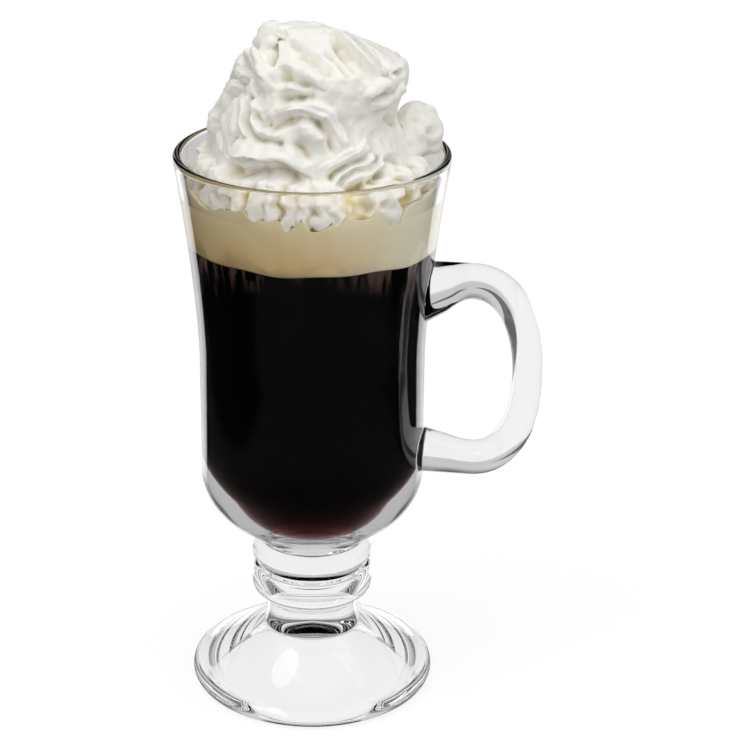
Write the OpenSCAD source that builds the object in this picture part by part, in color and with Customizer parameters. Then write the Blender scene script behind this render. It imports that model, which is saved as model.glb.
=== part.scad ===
// Irish coffee mug: a footed glass with a ringed stem and a side handle, filled with
// coffee, a float of cream and a heap of whipped cream. Millimetres, +Z up. The origin
// lies on the mug's axis at the table, and the handle points along +X.

/* [Bowl] */
// Height of the rim above the table
mug_h = 150; // [135:1:170]
// Outer diameter of the rim
rim_d = 70.6; // [64:0.2:78]
// Outer diameter of the straight part of the bowl
body_d = 59; // [54:0.5:63]
// Height of the flare below the rim
flare_h = 55; // [45:1:65]
// Wall thickness at the rim
rim_wall = 2.2; // [1.6:0.1:3]
// Wall thickness above the rounded bottom
belly_wall = 2.5; // [1.8:0.1:3.5]
// Height of the rounded bottom above the stem
belly_h = 18.5; // [14:0.5:23]
// Thickness of the glass between the stem and the drink
base_t = 3.5; // [2:0.1:6]
// Height of the rounded well inside the bowl
well_h = 28; // [22:0.5:34]
// Height of the short collar under the rounded bottom
collar_h = 1.4; // [0.8:0.1:2.5]

/* [Stem] */
// Diameter of the bowl's seat on the stem
seat_d = 30; // [26:0.2:31.5]
// Diameter of the upper ring
upper_ring_d = 33.6; // [32:0.2:38]
// Height of the upper ring, from the groove to the seat
upper_ring_h = 9.5; // [7:0.5:13]
// Height of the round bead under the upper ring
bead_h = 1.5; // [0.8:0.1:2.5]
// Diameter of the groove between the rings
groove_d = 28; // [25:0.2:31]
// Diameter of the lower ring
lower_ring_d = 33.5; // [32:0.1:38]
// Height of the lower ring
lower_ring_h = 8.5; // [6:0.5:12]
// Diameter of the neck
neck_d = 24; // [20:0.2:25.5]
// Height of the neck above the cone of the foot
neck_h = 9.5; // [7:0.5:13]

/* [Foot] */
// Outer diameter of the foot
foot_d = 65.8; // [60:0.2:74]
// Height of the foot's cone, table to neck
foot_h = 16; // [14:0.5:20]
// Widening of the neck on each side where it meets the cone
heel_w = 0.8; // [0.2:0.1:1.5]
// Height over which the neck widens
heel_h = 5; // [4:0.5:6.5]
// Thickness of the foot's round edge
edge_t = 5; // [3.5:0.1:7]
// Diameter of the hollow under the foot
kick_d = 54; // [44:1:57]
// Depth of the hollow under the foot
kick_h = 17.5; // [12:0.5:17.5]

/* [Handle] */
// Reach of the handle from the mug's axis
handle_reach = 60.6; // [56:0.2:68]
// Height of the upper arm's centre line
arm_top_z = 117.6; // [108:0.2:122]
// Height of the lower arm's centre line
arm_low_z = 68.2; // [66:0.2:76]
// Length of the straight arms, from the bowl to the bend
arm_len = 12.5; // [10:0.5:15]
// Height of an arm's oval section
arm_t = 9; // [7:0.2:11]
// Width of an arm's oval section
arm_w = 10.5; // [8:0.2:13]
// Thickness of the grip's oval section
grip_t = 8; // [6:0.2:9]
// Width of the grip's oval section
grip_w = 11; // [8:0.2:13]
// Height of the upper arm where it meets the bowl
top_root_t = 16; // [12:0.2:18]
// Height of the lower arm where it meets the bowl
low_root_t = 11.5; // [10:0.2:14]
// Width of both arms where they meet the bowl
root_w = 13; // [12:0.2:15]

/* [Drink] */
// Gap between the drink and the glass
film = 0.1; // [0.05:0.05:0.3]
// Depth of the whipped cream's foot below the rim
cream_sink = 11; // [8:0.5:14]
// Depth of the cream float on the coffee
float_h = 14; // [8:0.5:18]

/* [Whipped cream] */
// Width of the heap just above the rim
heap_d = 49; // [44:0.5:54]
// Height of the middle layer of the heap
middle_h = 16; // [12:0.5:20]
// Height of the crest of the heap
crest_h = 17.5; // [13:0.5:21]
// Width of the single dollop at the side
dollop_d = 10; // [8:0.5:10]
// Height of the single dollop
dollop_h = 14; // [10:0.5:15]
// Ridges that the nozzle leaves round the heap
ridges = 9; // [7:1:11]

/* [Hidden] */
$fn = 96;
steps = 12;

glass_tint = [0.86, 0.9, 0.92, 0.4];
coffee_tint = [0.12, 0.06, 0.05];
float_tint = [0.69, 0.61, 0.45];
cream_tint = [0.96, 0.95, 0.91];

// Radii
rim_r = rim_d / 2;
body_r = body_d / 2;
seat_r = seat_d / 2;
groove_r = groove_d / 2;
neck_r = neck_d / 2;

// Heights, stacked up from the table
heel_z = foot_h + heel_h;
neck_top_z = foot_h + neck_h;
groove_z = neck_top_z + lower_ring_h;
seat_z = groove_z + upper_ring_h;
belly_z = seat_z + belly_h;
well_z = seat_z + base_t + well_h;
flare_z = mug_h - flare_h;
lip_z = mug_h - rim_wall / 2;
cream_z = mug_h - cream_sink;
coffee_z = cream_z - float_h;

// Curve of the flare: shares of its height to shares of its spread
flare_power = 1.5;

// The widest line of each ring, as a share of the ring's height
lower_ring_mid_share = 0.41;
upper_ring_mid_share = 0.45;
lower_ring_mid_z = neck_top_z + lower_ring_h * lower_ring_mid_share;
upper_ring_mid_z = groove_z + upper_ring_h * upper_ring_mid_share;

// Curve of the hollow under the foot: 1 is a cone, 2 a dome
kick_power = 1.6;

// Depth of the outer ellipse that carries the rounded bottom onto its collar
belly_drop = (belly_h - collar_h) / sqrt(1 - pow(seat_r / body_r, 2));

// Glass bowl
function outer_r(z) = body_r + (rim_r - body_r) * pow(max(0, (z - flare_z) / (lip_z - flare_z)), flare_power);
function wall(z) = belly_wall + (rim_wall - belly_wall) * (z - belly_z) / (mug_h - belly_z);
function inner_r(z, gap = 0) = outer_r(z) - wall(z) - gap;
function level(from, to, i) = from + (to - from) * i / steps;

// Outer line of the bowl, from its collar up to where the lip's round begins
collar_angle = asin(seat_r / body_r);
function bowl_outside() = concat(
    [[0, seat_z], [seat_r, seat_z]],
    [for (i = [0:steps]) let (a = level(collar_angle, 90, i)) [body_r * sin(a), belly_z - belly_drop * cos(a)]],
    [for (i = [0:steps]) let (z = level(flare_z, lip_z, i)) [outer_r(z), z]]
);

// Inner line of the bowl from the axis up to a level, set in by a gap
function bowl_inside(top_z, gap = 0) = concat(
    [for (i = [0:steps]) let (a = level(0, 90, i))
        [inner_r(well_z, gap) * sin(a), well_z - (well_h - gap) * cos(a)]],
    [for (i = [1:3 * steps]) let (z = level(well_z, mug_h, i / 3)) if (z < top_z) [inner_r(z, gap), z]],
    [[inner_r(top_z, gap), top_z]]
);

// Round lip from the outer line over to the inner line
function lip() = [for (i = [1:steps - 1]) let (a = level(0, 180, i))
    [outer_r(lip_z) - rim_wall / 2 * (1 - cos(a)), lip_z + rim_wall / 2 * sin(a)]];

function reversed(list) = [for (i = [len(list) - 1:-1:0]) list[i]];

module bowl_envelope() {
    rotate_extrude() polygon(concat(bowl_outside(), [[0, lip_z]]));
}

module bowl() {
    color(glass_tint)
        rotate_extrude() polygon(concat(bowl_outside(), lip(), reversed(bowl_inside(lip_z))));
}

// Stem with two round rings
module ringed_stem() {
    lower_r = lower_ring_d / 2;
    upper_r = upper_ring_d / 2;
    under_h = lower_ring_mid_z - neck_top_z;
    over_h = groove_z - lower_ring_mid_z;
    shoulder_h = seat_z - upper_ring_mid_z;
    underside = [for (i = [0:steps]) let (a = level(90, 0, i))
        [neck_r + (lower_r - neck_r) * cos(a), lower_ring_mid_z - under_h * sin(a)]];
    upperside = [for (i = [1:steps]) let (a = level(0, 90, i))
        [groove_r + (lower_r - groove_r) * cos(a), lower_ring_mid_z + over_h * sin(a)]];
    bead = [for (i = [0:steps]) let (a = level(90, 0, i))
        [groove_r + (upper_r - groove_r) * cos(a), upper_ring_mid_z - bead_h * sin(a)]];
    shoulder = [for (i = [1:steps]) let (a = level(0, 90, i))
        [seat_r + (upper_r - seat_r) * cos(a), upper_ring_mid_z + shoulder_h * sin(a)]];
    color(glass_tint)
        rotate_extrude()
            polygon(concat([[0, heel_z], [neck_r, heel_z]], underside, upperside, bead, shoulder, [[0, seat_z]]));
}

// Foot: a cone that runs up into the neck, with a round edge and a deep hollow underneath
module foot() {
    edge_r = foot_d / 2 - edge_t / 2;
    heel = [for (i = [0:steps]) let (t = i / steps) [neck_r + heel_w * t * t, level(heel_z, foot_h, i)]];
    edge = [for (i = [0:steps]) let (a = level(90, -90, i))
        [edge_r + edge_t / 2 * cos(a), edge_t / 2 * (1 + sin(a))]];
    kick = [for (i = [0:steps]) let (t = level(1, 0, i)) [kick_d / 2 * t, kick_h * (1 - pow(t, kick_power))]];
    color(glass_tint)
        rotate_extrude() polygon(concat([[0, heel_z]], heel, edge, kick));
}

// Handle: an oval section swept along two arms and a full bend. The arms swell on the
// finger side where they meet the bowl.
bend_r = body_r + arm_len;
bend_w = handle_reach - grip_t / 2 - bend_r;
bend_mid_z = (arm_top_z + arm_low_z) / 2;
bend_h = (arm_top_z - arm_low_z) / 2;
bend_power = 0.91;
arm_rings = 8;
bend_rings = 28;
oval_sides = 24;

function swell(x) = (1 + cos(180 * min(1, max(0, (x - body_r) / arm_len)))) / 2;
function round_power(v) = sign(v) * pow(abs(v), bend_power);

// One station of the sweep: its centre, the direction to the finger side, height and width
function arm_station(x, z, finger, root_t) = let (t = arm_t + (root_t - arm_t) * swell(x))
    [[x, 0, z] + finger * (t - arm_t) / 2, finger, t, arm_w + (root_w - arm_w) * swell(x)];
function bend_point(a) = [bend_r + bend_w * round_power(cos(a)), 0, bend_mid_z + bend_h * round_power(sin(a))];
function bend_station(a) = let (
        half_step = 90 / bend_rings,
        along = bend_point(max(-90, a - half_step)) - bend_point(min(90, a + half_step)),
        finger = [along[2], 0, -along[0]] / norm(along)
    ) [bend_point(a), finger, grip_t + (arm_t - grip_t) * abs(sin(a)), grip_w + (arm_w - grip_w) * abs(sin(a))];

module handle() {
    root_r = body_r - belly_wall;
    stations = concat(
        [for (i = [0:arm_rings - 1])
            arm_station(root_r + (bend_r - root_r) * i / arm_rings, arm_top_z, [0, 0, -1], top_root_t)],
        [for (i = [0:bend_rings]) bend_station(90 - 180 * i / bend_rings)],
        [for (i = [arm_rings - 1:-1:0])
            arm_station(root_r + (bend_r - root_r) * i / arm_rings, arm_low_z, [0, 0, 1], low_root_t)]
    );
    rings = [for (s = stations) [for (k = [0:oval_sides - 1]) let (b = 360 * k / oval_sides)
        s[0] + s[1] * s[2] / 2 * cos(b) + [0, s[3] / 2 * sin(b), 0]]];
    color(glass_tint)
        difference() {
            loft(rings);
            bowl_envelope();
        }
}

// Closed skin over a list of rings that all have the same number of points
module loft(rings) {
    n = len(rings[0]);
    last = (len(rings) - 1) * n;
    sides = [for (i = [0:len(rings) - 2]) for (k = [0:n - 1]) let (a = i * n + k, b = i * n + (k + 1) % n)
        each [[a, a + n, b], [b, a + n, b + n]]];
    first_cap = [for (k = [0:n - 1]) k];
    last_cap = [for (k = [n - 1:-1:0]) last + k];
    polyhedron([for (ring = rings) each ring], concat(sides, [first_cap, last_cap]));
}

// Drink
module drink(from_points) {
    top_z = from_points[len(from_points) - 1][1];
    rotate_extrude() polygon(concat(from_points, [[0, top_z]]));
}

module coffee() {
    color(coffee_tint) drink(bowl_inside(coffee_z, film));
}

module cream_float() {
    side = [for (i = [0:steps]) let (z = level(coffee_z, cream_z, i)) [inner_r(z, film), z]];
    color(float_tint) drink(concat([[0, coffee_z]], side));
}

// Whipped cream in the glass and the dollop. A row of a shares table gives a height in the layer, then the
// ring's place along X and Y and its spread along X and Y, the last four as shares of the layer's radius.
base_layer_shares = [
    [0, 0.04, 0, 0.86, 0.86],
    [0.3, 0.04, 0, 0.91, 0.91],
    [1, 0.03, 0, 0.9, 0.9],
];
dollop_shares = [
    [0, 0, 0, 0.8, 0.9],
    [0.25, 0, 0, 1, 1.15],
    [0.55, 0, 0, 1, 1.15],
    [0.85, 0, 0, 0.7, 0.8],
    [1, 0, 0, 0.3, 0.35],
];
ridge_share = 0.045;
ridge_points = 6;
ridge_turn = 900;
layer_rings = 8;
dollop_place_shares = [1.11, 0.18];

function column(table, i) = [for (row = table) [row[0], row[i]]];

// One layer of cream: ridged rings that turn as they rise
module cream_layer(z, h, r, shares) {
    count = ridges * ridge_points;
    rings = [for (i = [layer_rings:-1:0]) let (u = i / layer_rings) [for (k = [0:count - 1])
        let (
            a = 360 * k / count,
            rise_share = (z + h * u - cream_z) / (cream_sink + middle_h + crest_h),
            spread = 1 + ridge_share * cos(ridges * a + ridge_turn * rise_share),
            x = lookup(u, column(shares, 1)) + lookup(u, column(shares, 3)) * spread * cos(a),
            y = lookup(u, column(shares, 2)) + lookup(u, column(shares, 4)) * spread * sin(a)
        ) [r * x, r * y, z + h * u]]];
    color(cream_tint) rotate(heap_turn) loft(rings);
}

// The heap above the rim. A row gives a height as a share of the heap's height, then the reach to the left
// and to the right as shares of its radius, the depth as a share of the width, and the lean to the back.
heap_shares = [
    [0, 1.05, 1.05, 0.99, 0], [0.15, 1.02, 0.97, 0.98, 0], [0.27, 1, 0.89, 0.96, 0],
    [0.39, 0.91, 0.9, 0.93, -0.01], [0.51, 0.81, 0.95, 0.91, -0.025], [0.6, 0.76, 0.98, 0.88, -0.035],
    [0.7, 0.69, 0.96, 0.85, -0.05], [0.78, 0.55, 0.75, 0.81, -0.055], [0.87, 0.47, 0.48, 0.79, -0.065],
    [0.93, 0.44, 0.26, 0.77, -0.075], [0.98, 0.36, 0.12, 0.75, -0.08], [1, 0.24, 0.02, 0.75, -0.08],
];

// Folds of the heap: how far one stands out and its half width as shares of the heap's radius, then
// its places as bearings (0 right, -90 front) and shares of the heap's height
front_fold_shares = [
    [0.08, 0.18, [[-42, 0.95], [-20, 0.92], [-6, 0.78], [-4, 0.69], [-12, 0.6], [-26, 0.52]]],
    [-0.08, 0.08, [[-60, 0.95], [-55, 0.85], [-46, 0.64]]],
    [0.065, 0.14, [[-129, 0.93], [-97, 0.9], [-78, 0.79], [-62, 0.58]]],
    [-0.06, 0.07, [[-112, 0.87], [-92, 0.79], [-74, 0.61]]],
    [0.09, 0.12, [[-130, 0.77], [-107, 0.74], [-96, 0.67], [-84, 0.57]]],
    [-0.12, 0.09, [[-131, 0.71], [-108, 0.69], [-99, 0.64]]],
    [0.08, 0.1, [[-122, 0.64], [-108, 0.6], [-92, 0.57]]],
    [0.07, 0.1, [[-185, 0.93], [-166, 0.9], [-142, 0.87]]],
    [0.07, 0.075, [[-164, 0.81], [-140, 0.75], [-127, 0.58]]],
    [0.07, 0.08, [[-176, 0.6], [-166, 0.51], [-147, 0.4], [-136, 0.28]]],
    [0.075, 0.075, [[-154, 0.6], [-148, 0.51], [-136, 0.39], [-124, 0.28], [-110, 0.26]]],
    [0.07, 0.07, [[-139, 0.57], [-132, 0.46], [-122, 0.37], [-108, 0.34]]],
    [0.08, 0.115, [[-124, 0.43], [-115, 0.5], [-102, 0.52], [-88, 0.5], [-73, 0.39], [-67, 0.27], [-71, 0.15]]],
    [-0.13, 0.085, [[-116, 0.38], [-109, 0.43], [-99, 0.45], [-88, 0.44], [-78, 0.35], [-72, 0.24]]],
    [0.1, 0.105, [[-106, 0.38], [-96, 0.38], [-85, 0.32], [-77, 0.21]]],
    [-0.08, 0.1, [[-104, 0.25], [-88, 0.15]]],
    [0.1, 0.15, [[-145, 0.125], [-123, 0.115], [-100, 0.08], [-93, 0.03]]],
    [0.08, 0.1, [[-78, 0.045], [-64, 0.15], [-49, 0.21], [-26, 0.25]]],
    [-0.1, 0.07, [[-70, 0], [-57, 0.06], [-40, 0.105]]],
    [0.07, 0.075, [[-58, 0.51], [-47, 0.58], [-28, 0.6]]],
    [0.07, 0.075, [[-52, 0.4], [-36, 0.46], [-12, 0.45]]],
    [-0.09, 0.06, [[-56, 0.45], [-42, 0.51], [-22, 0.52]]],
];
dollop_seat_shares = [[-0.19, 0.27, [[9, 0], [9, 0.1]]]];
back_fold_shares = [for (b = [30:22:154])
    [0.08, 0.115, [[b, 0], [b + 12, 0.12], [b + 18, 0.36], [b + 30, 0.6], [b + 46, 0.84]]]];
heap_r = heap_d / 2;
heap_h = middle_h + crest_h;
heap_turn = 10;
heap_columns = 108;
heap_layer_rings = 17;

function heap_share(u, i) = lookup(u, column(heap_shares, i));
function heap_centre(u) =
    [heap_r * (heap_share(u, 2) - heap_share(u, 1)) / 2, heap_r * heap_share(u, 4), mug_h + heap_h * u];
function heap_ring(u, bearings) = let (
        centre = heap_centre(u),
        half = heap_r * (heap_share(u, 1) + heap_share(u, 2)) / 2,
        depth = half * heap_share(u, 3)
    ) [for (a = bearings) centre + [half * cos(a), depth * sin(a), 0]];

fold_lines = [for (fold = concat(front_fold_shares, dollop_seat_shares, back_fold_shares))
    [heap_r * fold[0], heap_r * fold[1], [for (place = fold[2]) heap_ring(place[1], [place[0]])[0]]]];

// How far a place of the heap stands out, from its distance to the line of each fold
function beside(place, line) = min([for (i = [0:len(line) - 2])
    let (ahead = line[i + 1] - line[i], t = (place - line[i]) * ahead / (ahead * ahead))
        norm(place - line[i] - ahead * min(1, max(0, t)))]);
function stand_out(place) = let (
        parts = [for (fold = fold_lines) fold[0] * max(0, 1 - pow(beside(place, fold[2]) / fold[1], 2))]
    ) parts * [for (part = parts) 1];

module heap_layer(from_z, h) {
    bearings = [for (k = [0:heap_columns - 1]) 360 * k / heap_columns];
    rings = [for (i = [heap_layer_rings:-1:0])
        let (u = (from_z - mug_h + h * i / heap_layer_rings) / heap_h, centre = heap_centre(u))
            [for (place = heap_ring(u, bearings))
                place + (place - centre) * stand_out(place) / norm(place - centre)]];
    color(cream_tint) rotate(heap_turn) loft(rings);
}

module cream_base_layer() {
    cream_layer(cream_z, cream_sink, inner_r(cream_z, film), base_layer_shares);
}

module cream_middle_layer() {
    heap_layer(mug_h, middle_h);
}

module cream_crest() {
    heap_layer(mug_h + middle_h, crest_h);
}

module cream_dollop() {
    rotate(heap_turn)
        translate([heap_r * dollop_place_shares[0], heap_r * dollop_place_shares[1], 0])
            rotate(-heap_turn) cream_layer(mug_h, dollop_h, dollop_d / 2, dollop_shares);
}

bowl();
ringed_stem();
foot();
handle();
coffee();
cream_float();
cream_base_layer();
cream_middle_layer();
cream_crest();
cream_dollop();
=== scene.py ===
# %% [markdown]
# # An irish coffee in a footed glass mug
# The real object is a pressed glass mug on a ringed stem, filled with black coffee, a float of
# cream and a heap of whipped cream. The CAD model gives every piece its size and place, and this
# lesson gives them their looks. Loading the model first means that each piece can be built
# straight into its place, in metres, with nothing to fit afterwards.

# %% Load the model
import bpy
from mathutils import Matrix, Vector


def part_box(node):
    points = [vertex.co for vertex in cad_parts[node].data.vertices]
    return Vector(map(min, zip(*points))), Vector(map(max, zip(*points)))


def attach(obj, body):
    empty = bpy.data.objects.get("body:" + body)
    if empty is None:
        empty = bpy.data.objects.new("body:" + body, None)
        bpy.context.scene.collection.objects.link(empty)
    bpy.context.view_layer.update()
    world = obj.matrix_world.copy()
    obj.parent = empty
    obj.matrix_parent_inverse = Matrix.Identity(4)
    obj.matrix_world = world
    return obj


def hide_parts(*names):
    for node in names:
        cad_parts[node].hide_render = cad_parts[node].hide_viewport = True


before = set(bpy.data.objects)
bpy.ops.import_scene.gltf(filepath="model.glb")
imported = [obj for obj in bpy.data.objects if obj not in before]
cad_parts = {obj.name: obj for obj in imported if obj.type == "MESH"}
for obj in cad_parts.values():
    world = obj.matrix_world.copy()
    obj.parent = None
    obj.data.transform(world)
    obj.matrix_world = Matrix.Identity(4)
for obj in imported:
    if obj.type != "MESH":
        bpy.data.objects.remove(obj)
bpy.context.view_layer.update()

from math import asin, cos, pi, radians, sin, sqrt

import bmesh
import bpy
import numpy as np
from mathutils import Vector, noise

scene = bpy.context.scene
mm = 0.001

# %% [markdown]
# ## The camera
# A photograph taken from half a metre with a long lens looks down on the rim and the foot at two
# slightly different angles. Those two ellipses fix the distance and the height of the camera. The
# mug stands left of the middle of the picture, so the lens is shifted sideways by that much: a
# turned camera would tilt the mug, and a shifted one keeps it upright.

# %% Camera
photo_side_px = 750
mug_axis_px = 312.2
focal_length = 103.1
camera_turn = radians(10)
camera_away = 521 * mm
camera_height = 308.8 * mm
camera_tilt = radians(22.92)

lens = bpy.data.cameras.new("photo_camera")
lens.lens = focal_length
lens.shift_x = (photo_side_px / 2 - mug_axis_px) / photo_side_px
camera = bpy.data.objects.new("photo_camera", lens)
camera.location = (camera_away * sin(camera_turn), -camera_away * cos(camera_turn), camera_height)
camera.rotation_euler = (pi / 2 - camera_tilt, 0, camera_turn)
scene.collection.objects.link(camera)
scene.camera = camera
scene.view_settings.view_transform = "Standard"
print("Camera at", [round(c / mm) for c in camera.location], "mm, lens shift", round(lens.shift_x, 4))

# %% [markdown]
# ## The studio
# Clear glass has no colour of its own: it shows the room. A glass photographed on white has a
# white table and a white wall behind it, a dark room on the camera's side, and one large soft lamp
# overhead. Painting that room with real walls would work, but the walls would also block the lamp.
# Here the world and the floor ask what kind of ray meets them, and answer with the white wall, the
# dark room or soft daylight.

# %% Helpers for nodes
white = (1, 1, 1, 1)


def set_sockets(node, values):
    """Sets numbers and colours on a node's own sockets."""
    for name, value in values.items():
        node.inputs[name].default_value = value


def calc(tree, operation, first, second):
    """One sum of two values, each a number or an output socket."""
    node = tree.nodes.new("ShaderNodeMath")
    node.operation = operation
    for socket, value in zip(node.inputs, (first, second)):
        if isinstance(value, (int, float)):
            socket.default_value = value
        else:
            tree.links.new(value, socket)
    return node.outputs[0]


def fade(tree, value, start, end, low=0.0, high=1.0):
    """A soft step: low up to start, high from end on."""
    node = tree.nodes.new("ShaderNodeMapRange")
    node.interpolation_type = "SMOOTHSTEP"
    tree.links.new(value, node.inputs["Value"])
    set_sockets(node, {"From Min": start, "From Max": end, "To Min": low, "To Max": high})
    return node.outputs["Result"]


def ray_kinds(tree):
    """Shares of camera, through-glass, mirrored and soft rays: one of them is 1, the rest are 0."""
    path = tree.nodes.new("ShaderNodeLightPath")
    seen = path.outputs["Is Camera Ray"]
    soft = calc(tree, "MINIMUM", path.outputs["Diffuse Depth"], 1)
    not_soft = calc(tree, "SUBTRACT", 1, soft)
    through = calc(tree, "MULTIPLY", path.outputs["Is Transmission Ray"], not_soft)
    not_through = calc(tree, "SUBTRACT", not_soft, through)
    mirrored = calc(tree, "MULTIPLY", path.outputs["Is Glossy Ray"], not_through)
    return seen, through, mirrored, soft


def answer(tree, kinds, levels):
    """The level for the kind of ray that asks."""
    total = 0.0
    for kind, level in zip(kinds, levels):
        total = calc(tree, "ADD", total, calc(tree, "MULTIPLY", kind, level))
    return total


def measured_along(tree, place, heading):
    """How far a place lies along a heading."""
    node = tree.nodes.new("ShaderNodeVectorMath")
    node.operation = "DOT_PRODUCT"
    tree.links.new(place, node.inputs[0])
    node.inputs[1].default_value = heading
    return node.outputs["Value"]


def in_view(right, away, up):
    """From the camera's right, away and up to the model's axes."""
    x = right * cos(camera_turn) - away * sin(camera_turn)
    y = right * sin(camera_turn) + away * cos(camera_turn)
    return x, y, up


print("The camera's right is", [round(c, 3) for c in in_view(1, 0, 0)])

# %% World
white_paper = 0.98
soft_daylight = 1.2
soft_shade = 0.24
window_side = (0.25, -0.5, 0.83)
window_spread = (0, 0.95)
glass_daylight = 2.0
glass_shade = 0.32
glass_side = (0.8, -0.55, 0.2)
glass_spread = (-0.5, 0.9)
dark_room = 0.006
wall_foot = 0.62
wall_dusk = 0.2
dusk_start = radians(8)
dusk_end = radians(30)
ceiling = 0.8
ceiling_start = radians(38)
ceiling_end = radians(55)

world = bpy.data.worlds.new("studio")
scene.world = world
world.use_nodes = True
sky = world.node_tree
direction = sky.nodes.new("ShaderNodeTexCoord").outputs["Generated"]
rise = measured_along(sky, direction, (0, 0, 1))
wall = fade(sky, rise, sin(dusk_start), sin(dusk_end), wall_foot, wall_dusk)
overhead = fade(sky, rise, sin(ceiling_start), sin(ceiling_end), 0, ceiling)
wall = calc(sky, "MAXIMUM", wall, overhead)


def daylight(side, spread, shade, full):
    """Soft light that is full from one side and falls to a shade on the other."""
    return fade(sky, measured_along(sky, direction, in_view(*side)), *spread, shade, full)


# the lamp's light doesn't pass the glass, so daylight that comes through it is stronger
in_air = daylight(window_side, window_spread, soft_shade, soft_daylight)
in_glass = daylight(glass_side, glass_spread, glass_shade, glass_daylight)
depth = sky.nodes.new("ShaderNodeLightPath").outputs["Transmission Depth"]
behind_glass = calc(sky, "MINIMUM", depth, 1)
before_glass = calc(sky, "SUBTRACT", 1, behind_glass)
soft_level = answer(sky, (before_glass, behind_glass), (in_air, in_glass))
level = answer(sky, ray_kinds(sky), (white_paper, wall, dark_room, soft_level))
sky.links.new(level, sky.nodes["Background"].inputs["Strength"])
sky.nodes["Background"].inputs["Color"].default_value = white
print("World:", len(sky.nodes), "nodes")

# %% Floor material
floor_grey = 0.4
floor_light = 0.72
shadow_share = 0.25
sheet_left = -165 * mm
sheet_right = 205 * mm
sheet_blur = 32 * mm
glow_left = radians(46)
glow_right = radians(50)
glow_blur = radians(4)
mirror_glow = 0.8
mirror_glow_to = radians(15)
window_glow = 1.8
window_glow_from = radians(38)
sheet_through = 0.93
far_through = 0.6
far_start = 300 * mm
far_end = 420 * mm
dark_table = 0.14


def new_look(name):
    """A new material, and its node tree."""
    look = bpy.data.materials.new(name)
    look.use_nodes = True
    return look, look.node_tree


floor_look, tree = new_look("white_paper_floor")
tree.nodes.clear()
place = tree.nodes.new("ShaderNodeNewGeometry").outputs["Position"]
sideways = measured_along(tree, place, in_view(1, 0, 0))
backwards = measured_along(tree, place, in_view(0, 1, 0))
heading = calc(tree, "ARCTAN2", sideways, backwards)
glow_begins = fade(tree, heading, -glow_left - glow_blur, -glow_left)
glow_ends = fade(tree, heading, glow_right, glow_right + glow_blur, 1, 0)
behind = calc(tree, "MULTIPLY", glow_begins, glow_ends)
off_middle = calc(tree, "ABSOLUTE", heading, 0)
side_glow = fade(tree, off_middle, mirror_glow_to, window_glow_from, mirror_glow, window_glow)
mirrored_sheet = calc(tree, "MAXIMUM", calc(tree, "MULTIPLY", behind, side_glow), dark_room)
sheet_begins = fade(tree, sideways, sheet_left - sheet_blur, sheet_left)
sheet_ends = fade(tree, sideways, sheet_right, sheet_right + sheet_blur, 1, 0)
wide_sheet = calc(tree, "MULTIPLY", sheet_begins, sheet_ends)
far_sheet = fade(tree, backwards, far_start, far_end, sheet_through, far_through)
through_sheet = calc(tree, "MAXIMUM", calc(tree, "MULTIPLY", wide_sheet, far_sheet), dark_table)
seen, through, mirrored, soft = ray_kinds(tree)
seen_glow = white_paper - shadow_share * floor_light
glow = answer(tree, (seen, through, mirrored), (seen_glow, through_sheet, mirrored_sheet))
shade = answer(tree, (seen, soft), (shadow_share, floor_grey))
paper = tree.nodes.new("ShaderNodeBsdfDiffuse")
tree.links.new(shade, paper.inputs["Color"])
light = tree.nodes.new("ShaderNodeEmission")
tree.links.new(glow, light.inputs["Strength"])
both = tree.nodes.new("ShaderNodeAddShader")
tree.links.new(paper.outputs[0], both.inputs[0])
tree.links.new(light.outputs[0], both.inputs[1])
floor_out = tree.nodes.new("ShaderNodeOutputMaterial")
tree.links.new(both.outputs[0], floor_out.inputs["Surface"])
print("Floor material:", len(tree.nodes), "nodes")

# %% Floor
floor_size = 6.0
floor_drop = 0.05 * mm

half = floor_size / 2
floor_mesh = bpy.data.meshes.new("floor")
corners = [(x, y, -floor_drop) for x, y in ((-half, -half), (half, -half), (half, half), (-half, half))]
floor_mesh.from_pydata(corners, [], [(0, 1, 2, 3)])
floor_mesh.materials.append(floor_look)
floor = bpy.data.objects.new("floor", floor_mesh)
scene.collection.objects.link(floor)
print("Floor:", floor_size, "m square")

# %% Lamp
lamp_place = Vector((-0.45, -0.35, 0.85))
lamp_aim = Vector((0, 0, 0.15))
lamp_size = 0.5
lamp_power = 1.3
glass_bounces = 48
mirror_bounces = 10

softbox = bpy.data.lights.new("softbox", "AREA")
softbox.shape = "DISK"
softbox.size = lamp_size
softbox.energy = lamp_power
lamp = bpy.data.objects.new("softbox", softbox)
lamp.location = lamp_place
lamp.rotation_euler = (lamp_aim - lamp_place).to_track_quat("-Z", "Y").to_euler()
scene.collection.objects.link(lamp)
scene.cycles.max_bounces = glass_bounces
scene.cycles.transmission_bounces = glass_bounces
scene.cycles.glossy_bounces = mirror_bounces
print("Softbox at", [round(c, 2) for c in lamp_place], "m")

# %% [markdown]
# ## The glass, in one piece
# A pressed mug is one body of glass: bowl, stem, foot and handle were fused while hot. Four meshes
# that only touch would show a mirror line at every seam, because light would leave one piece and
# enter the next. So the glass is one closed skin: a line turned round the axis, with two windows
# cut in its wall, and the handle's tube stitched to the windows' edges vertex by vertex. A boolean
# union would also join them, but it leaves long thin faces that show as streaks in clear glass.

# %% Sizes of the glass
rim_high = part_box("bowl")[1]
stem_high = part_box("ringed_stem")[1]
foot_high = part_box("foot")[1]

mug_h = rim_high.z
rim_r = rim_high.x
body_r = 29.5 * mm
flare_z = mug_h - 55 * mm
flare_power = 1.5
rim_wall = 2.2 * mm
belly_wall = 2.5 * mm
seat_z = stem_high.z
belly_z = seat_z + 18.5 * mm
base_t = 1.8 * mm
well_h = 34 * mm
well_power = 3
well_z = seat_z + base_t + well_h
collar_h = 1.4 * mm
lip_z = mug_h - rim_wall / 2

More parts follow.
